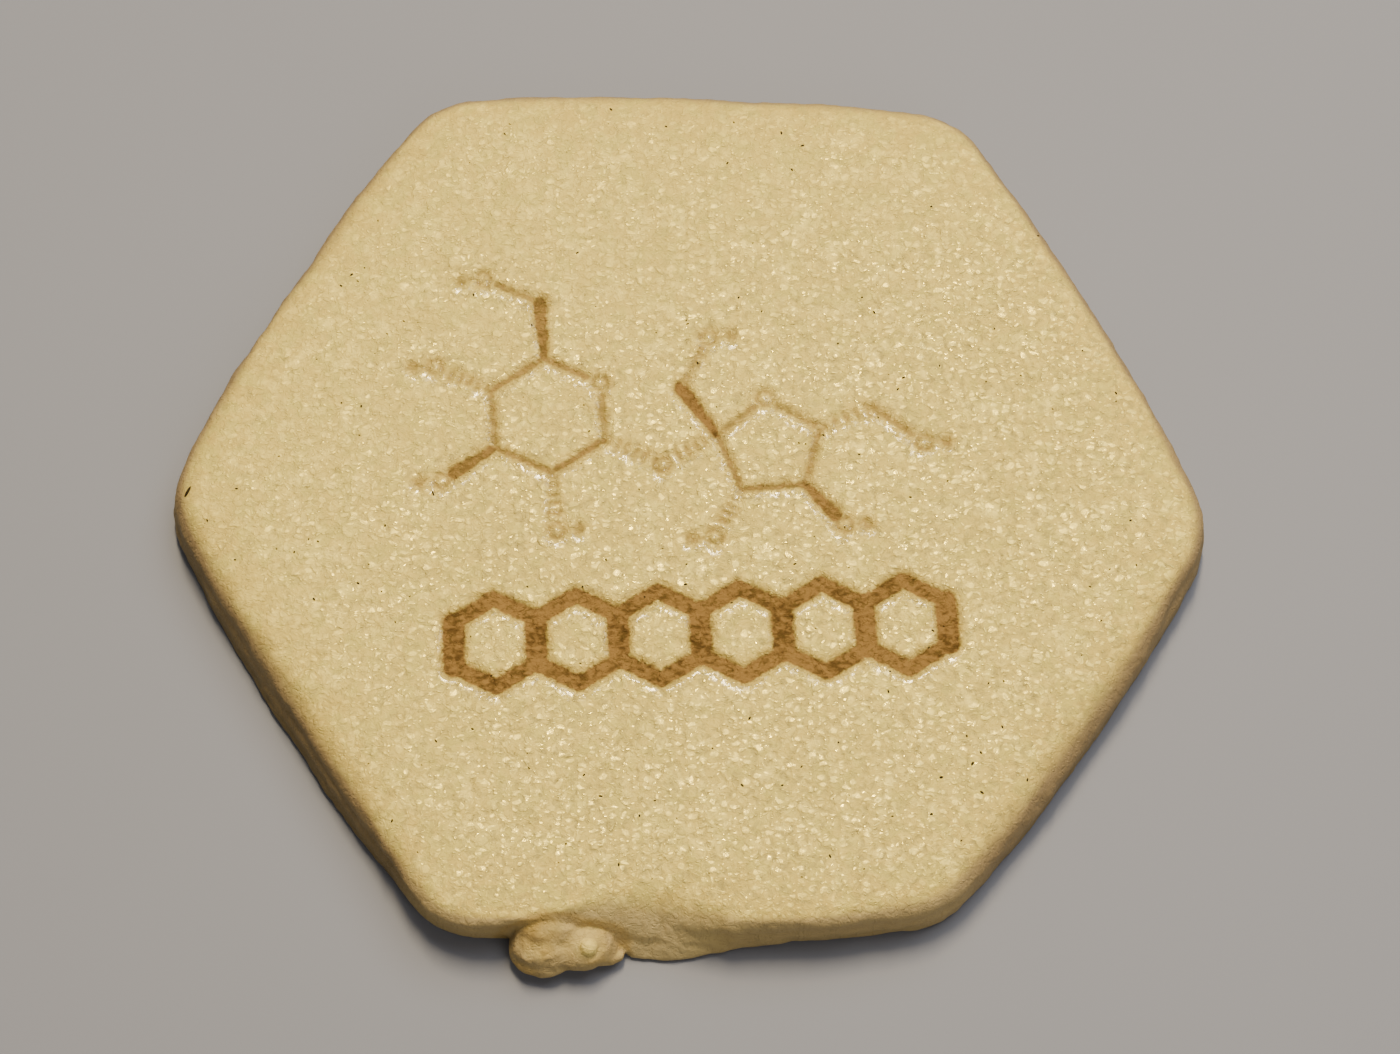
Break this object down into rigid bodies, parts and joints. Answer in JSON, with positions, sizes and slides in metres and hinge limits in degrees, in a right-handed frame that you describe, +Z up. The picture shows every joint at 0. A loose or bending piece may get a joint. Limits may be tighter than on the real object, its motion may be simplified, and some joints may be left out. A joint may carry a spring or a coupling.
{
  "type": "sugar cookie",
  "caption": "Thin rolled sugar cookie with a rounded hexagonal outline, a ragged front edge and a shallow scorched figure and honeycomb band in its top.",
  "frame": {"origin": "centre of the bounding box at its lowest face, on the surface that the cookie lies on", "axes": "+Z up through the thickness, +X towards the right-hand corner along the longest side, -Y towards the front edge with the dough scrap"},
  "size_m": [0.089, 0.082, 0.006],
  "materials": {
    "baked_dough": "pale baked dough, buttery and slightly pebbled, golden brown where it is scorched"
  },
  "bodies": {
    "root": {"cookie": "baked_dough"}
  },
  "joints": []
}
